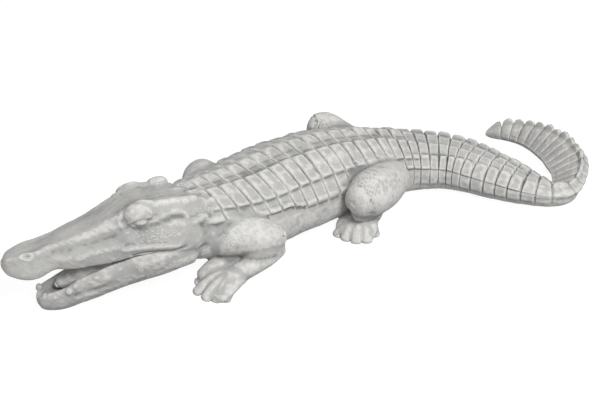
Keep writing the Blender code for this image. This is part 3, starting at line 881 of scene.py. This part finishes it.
def all_forms():
    """The rings of every form of the figure, the torso first."""
    forms = [torso(), skull(), lower_jaw(), tube(TONGUE, 44, 40)]
    forms += with_copies([dome(*BROW, 34, 44), dome(*EYEBALL)], HEAD_MIRROR)
    forms += [dome(*REAR_BUMP)] + [dome(*tooth, 12, 16) for tooth in TEETH]
    forms += with_copies(leg(FRONT_LEG, FRONT_PALM, FRONT_TOES), SHOULDER_MIRROR)
    forms += leg(HIND_LEG, HIND_PALM, HIND_TOES)
    far_leg = leg((FAR_THIGH, *HIND_LEG[1:]), HIND_PALM, HIND_TOES)
    return forms + [mirrored(rings, HIP_MIRROR) for rings in far_leg]


def with_smooth_joins(points, edges, joins, above, on_head):
    """The joins of the forms worked smooth: over 9.5 mm of skin, but over 3 mm on the head and near the ground."""
    radius = 0.0030 + 0.0065 * ramp(points[:, 2], 0.022, 0.040) * (1 - on_head)
    weight = (1 - ramp(distance_along(points, edges, joins) / radius, 0.25, 1.0)) * above
    return smoothed(points, edges, weight, 26)


def skin_height(points, pebbly, on_head):
    """How far the carving, the unevenness of the casting and the pebbles move the skin out, in metres."""
    height = carving(points / LENGTH + MIDDLE) * LENGTH
    for (rise, size, seed), share in ((BROAD_WAVES, 1.0), (FINE_WAVES, 1.0), (HEAD_WAVES, on_head)):
        height += rise * share * waves(points, size, seed)
    rise, size, seed = PEBBLES
    return height + rise * pebbly * ramp(waves(points, size, seed), 0.1, 1.2)


def standing_out(points, normals, edges, rounds):
    """How far each point stands out of the skin around it, smoothed by so many rounds, in metres."""
    return ((points - smoothed(points, edges, np.ones(len(points)), rounds)) * normals).sum(axis=1)


def crocodile(cad_box):
    """The finished casting: one mesh with its carving, and the attributes from which its colour, with its painted
    shade and highlights, is read.

    The mesh is fitted to the box of the solid. "edge" is above 0 on edges and below 0 in crevices, "relief" the
    same over a wider stretch of skin, "pebbly" is 1 on pebbled skin, and "upward" is 1 where the skin faces up.
    """
    points, triangles, joins = cast_as_one(all_forms())
    edges = edges_of(triangles)
    above = ramp(points[:, 2], UNDERSIDE_TOP, 0.0040)
    on_head = 1 - ramp(points[:, 0] / LENGTH + MIDDLE[0], -0.245, -0.215)
    points = with_smooth_joins(points, edges, joins, above, on_head)
    pebbly = pebbled(points / LENGTH + MIDDLE)
    height = skin_height(points, pebbly, on_head) * above
    points = points + normals_of(points, triangles) * height[:, None]
    low, high = points.min(axis=0), points.max(axis=0)
    points = cad_box[0] + (points - low) * (cad_box[1] - cad_box[0]) / (high - low)
    normals = normals_of(points, triangles)
    attributes = {
        "edge": standing_out(points, normals, edges, 4) / 0.00030,
        "relief": standing_out(points, normals, edges, 30) / 0.0012,
        "pebbly": pebbly,
        "upward": normals[:, 2],
    }
    mesh = bpy.data.meshes.new("crocodile.casting")
    mesh.from_pydata(points.tolist(), [], triangles.tolist())
    for name, values in attributes.items():
        mesh.attributes.new(name, "FLOAT", "POINT").data.foreach_set("value", np.clip(values, -1, 1))
    mesh.shade_smooth()
    piece = bpy.data.objects.new("crocodile.casting", mesh)
    bpy.context.scene.collection.objects.link(piece)
    return piece


def node(tree, kind, inputs=(), **settings):
    """A new node with its settings, and its inputs set to a value or linked to a socket."""
    made = tree.nodes.new(kind)
    for name, value in settings.items():
        setattr(made, name, value)
    for name, value in dict(inputs).items():
        if isinstance(value, bpy.types.NodeSocket):
            tree.links.new(value, made.inputs[name])
        else:
            made.inputs[name].default_value = value
    return made


def scale_to(tree, value, low, high, to_low=0.0, to_high=1.0):
    """Map Range node: low to high becomes to_low to to_high, held at both ends."""
    inputs = {"Value": value, "From Min": low, "From Max": high, "To Min": to_low, "To Max": to_high}
    return node(tree, "ShaderNodeMapRange", inputs).outputs["Result"]


def blended(tree, share, first, second, way="MIX"):
    """Colour mix of two colours or sockets by a share."""
    made = tree.nodes.new("ShaderNodeMix")
    made.data_type = "RGBA"
    made.blend_type = way
    for socket, value in ((made.inputs[0], share), (made.inputs[6], first), (made.inputs[7], second)):
        if isinstance(value, bpy.types.NodeSocket):
            tree.links.new(value, socket)
        else:
            socket.default_value = value
    return made.outputs[2]


def product(tree, first, second):
    """Product of two sockets."""
    return node(tree, "ShaderNodeMath", {0: first, 1: second}, operation="MULTIPLY").outputs[0]


def tinted(tree, colour, share, most, tint):
    """The colour with a tint laid over it, which covers it up to most where the share is 1."""
    return blended(tree, scale_to(tree, share, 0, 1, 0, most), colour, tint)


def noise(tree, place, scale, detail, roughness):
    """Noise texture's value."""
    inputs = {"Vector": place, "Scale": scale, "Detail": detail, "Roughness": roughness}
    return node(tree, "ShaderNodeTexNoise", inputs).outputs["Fac"]


def bumped(tree, height, strength, distance, normal=None):
    """Normal of a bump, on top of an earlier one if that is given."""
    inputs = {"Height": height, "Strength": strength, "Distance": distance}
    if normal is not None:
        inputs["Normal"] = normal
    return node(tree, "ShaderNodeBump", inputs).outputs["Normal"]


def cast_stone():
    """Dry cast stone: grey and blotched, with paler edges and raised flats that are partly dry brush and partly
    painted highlight, and painted shade in hollows, in crevices and on sides that face sideways or down.
    """
    material = bpy.data.materials.new("cast stone")
    material.use_nodes = True
    tree = material.node_tree
    shader = tree.nodes["Principled BSDF"]
    place = node(tree, "ShaderNodeTexCoord").outputs["Object"]
    edge, relief, pebbly, upward = (
        node(tree, "ShaderNodeAttribute", attribute_name=name).outputs["Fac"]
        for name in ("edge", "relief", "pebbly", "upward")
    )
    blotch = noise(tree, place, 34.0, 8.0, 0.68)
    grain = noise(tree, place, 420.0, 5.0, 0.65)
    brush = noise(tree, place, 150.0, 6.0, 0.7)
    cells = node(tree, "ShaderNodeTexVoronoi", {"Vector": place, "Scale": 330.0, "Randomness": 0.9})
    # paler on broad raised skin: partly dry brush, partly painted highlight
    raised = product(tree, scale_to(tree, relief, -0.40, 0.12), scale_to(tree, brush, 0.20, 0.52))
    # edges, where the paler colour is partly dry brush and partly painted highlight
    caught = product(tree, scale_to(tree, edge, 0.34, 0.95), scale_to(tree, brush, 0.25, 0.58))
    dots = product(tree, pebbly, scale_to(tree, cells.outputs["Distance"], 0.42, 0.18))
    colour = blended(tree, scale_to(tree, blotch, 0.36, 0.66), STONE_DARK, STONE_LIGHT)
    # painted shade: the colour darkens where the skin faces sideways or down
    colour = blended(tree, scale_to(tree, upward, 0.20, -0.60, 0, 0.75), colour, SHADED_SIDE)
    # painted shade: darker in the broad hollows of the skin
    colour = tinted(tree, colour, scale_to(tree, relief, -0.30, -1.0), 0.22, PAINTED_HOLLOW_SHADE)
    # raised flats paler: partly dry brush, partly painted highlight
    colour = tinted(tree, colour, raised, 0.30, BRUSHED_AND_HIGHLIT_FLAT)
    # painted shade: darker in the narrow crevices
    colour = tinted(tree, colour, scale_to(tree, edge, -0.50, -1.00), 0.60, PAINTED_CREVICE_SHADE)
    # edges paler: partly dry brush, partly painted highlight
    colour = tinted(tree, colour, caught, 0.62, BRUSHED_AND_HIGHLIT_EDGE)
    colour = tinted(tree, colour, dots, 0.70, PEBBLE_TOP)
    tree.links.new(colour, shader.inputs["Base Color"])
    shader.inputs["Roughness"].default_value = 0.86
    shader.inputs["Specular IOR Level"].default_value = 0.25
    coarse = bumped(tree, brush, 0.22, 0.0010)
    knobs = bumped(tree, dots, 0.6, 0.0010, coarse)
    tree.links.new(bumped(tree, grain, 0.35, 0.0005, knobs), shader.inputs["Normal"])
    return material


def white_floor():
    """A plain white floor that glows of itself, so that it is seen white under the soft light."""
    mesh = bpy.data.meshes.new("floor")
    corners = [(x * FLOOR_HALF, y * FLOOR_HALF, 0) for x, y in ((-1, -1), (1, -1), (1, 1), (-1, 1))]
    mesh.from_pydata(corners, [], [(0, 1, 2, 3)])
    floor = bpy.data.objects.new("floor", mesh)
    bpy.context.scene.collection.objects.link(floor)
    white = bpy.data.materials.new("white floor")
    white.use_nodes = True
    shader = white.node_tree.nodes["Principled BSDF"]
    shader.inputs["Base Color"].default_value = (0.10, 0.10, 0.10, 1)
    shader.inputs["Roughness"].default_value = 0.9
    shader.inputs["Emission Color"].default_value = (1, 1, 1, 1)
    shader.inputs["Emission Strength"].default_value = FLOOR_GLOW
    mesh.materials.append(white)
    floor.visible_diffuse = False  # no light comes up from it, so the underside stays dark


def soft_light():
    """Even white light from all round, a large key lamp above the near side, and a weak fill before the snout."""
    world = bpy.data.worlds.new("studio")
    bpy.context.scene.world = world
    world.use_nodes = True
    background = world.node_tree.nodes["Background"]
    background.inputs["Color"].default_value = (1, 1, 1, 1)
    background.inputs["Strength"].default_value = WORLD_STRENGTH
    for name, place, size, power in LAMPS:
        light = bpy.data.lights.new(name, "AREA")
        light.size = size
        light.energy = power
        lamp = bpy.data.objects.new(name, light)
        lamp.matrix_world = looking(Vector(place), Vector((0, 0, 0)))
        bpy.context.scene.collection.objects.link(lamp)


def looking(place, target):
    """Where a lamp or a camera stands and how it is turned, to look from a place at a target."""
    return Matrix.Translation(place) @ (target - place).to_track_quat("-Z", "Y").to_matrix().to_4x4()


def photo_camera():
    """The photograph's camera, with the tones of the picture left plain."""
    turn, rise = math.radians(CAMERA_TURN), math.radians(CAMERA_RISE)
    way = Vector((math.sin(turn) * math.cos(rise), -math.cos(turn) * math.cos(rise), math.sin(rise)))
    aim = Vector((CAMERA_AIM - MIDDLE) * LENGTH)
    lens = bpy.data.cameras.new("camera")
    lens.lens = CAMERA_LENS
    lens.sensor_width = 36
    camera = bpy.data.objects.new("camera", lens)
    camera.matrix_world = looking(aim + way * CAMERA_DISTANCE * LENGTH, aim)
    bpy.context.scene.collection.objects.link(camera)
    bpy.context.scene.camera = camera
    bpy.context.scene.view_settings.view_transform = "Standard"


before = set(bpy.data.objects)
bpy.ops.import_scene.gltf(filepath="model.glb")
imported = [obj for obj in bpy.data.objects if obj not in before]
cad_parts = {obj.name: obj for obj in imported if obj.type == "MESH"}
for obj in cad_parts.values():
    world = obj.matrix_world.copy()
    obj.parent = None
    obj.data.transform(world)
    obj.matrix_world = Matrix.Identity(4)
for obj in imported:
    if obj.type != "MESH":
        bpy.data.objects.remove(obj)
cad_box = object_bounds()
casting = crocodile(np.array(cad_box))
casting.data.materials.append(cast_stone())
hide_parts("crocodile")
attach(casting, "root")
white_floor()
soft_light()
photo_camera()
